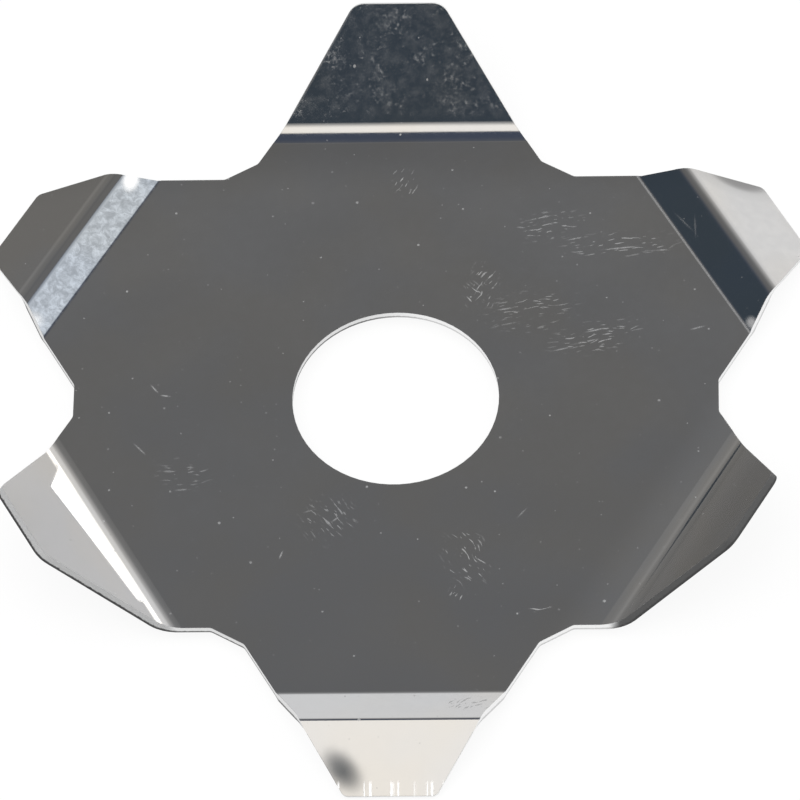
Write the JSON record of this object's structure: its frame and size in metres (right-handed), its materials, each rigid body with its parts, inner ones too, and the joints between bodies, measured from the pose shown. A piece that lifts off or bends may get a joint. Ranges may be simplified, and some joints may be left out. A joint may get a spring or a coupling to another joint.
{
  "type": "disc mower blade",
  "caption": "Star-shaped cutting plate folded from one steel sheet; every other tooth is bent up, the rest are stepped and turned down, round a flat hub with a central bore.",
  "frame": {"origin": "centre of the bore, on the hub's lower face", "axes": "+Z along the bore's axis, towards the side on which the raised teeth stand up; +Y along the middle of a raised tooth, with a stepped tooth along -Y; +X to the right when seen from above"},
  "size_m": [0.2062, 0.2197, 0.0328],
  "materials": {
    "sheet_steel": "bright rolled sheet, with fine scuffs and specks"
  },
  "bodies": {
    "root": {"blade_plate": "sheet_steel"}
  },
  "joints": []
}
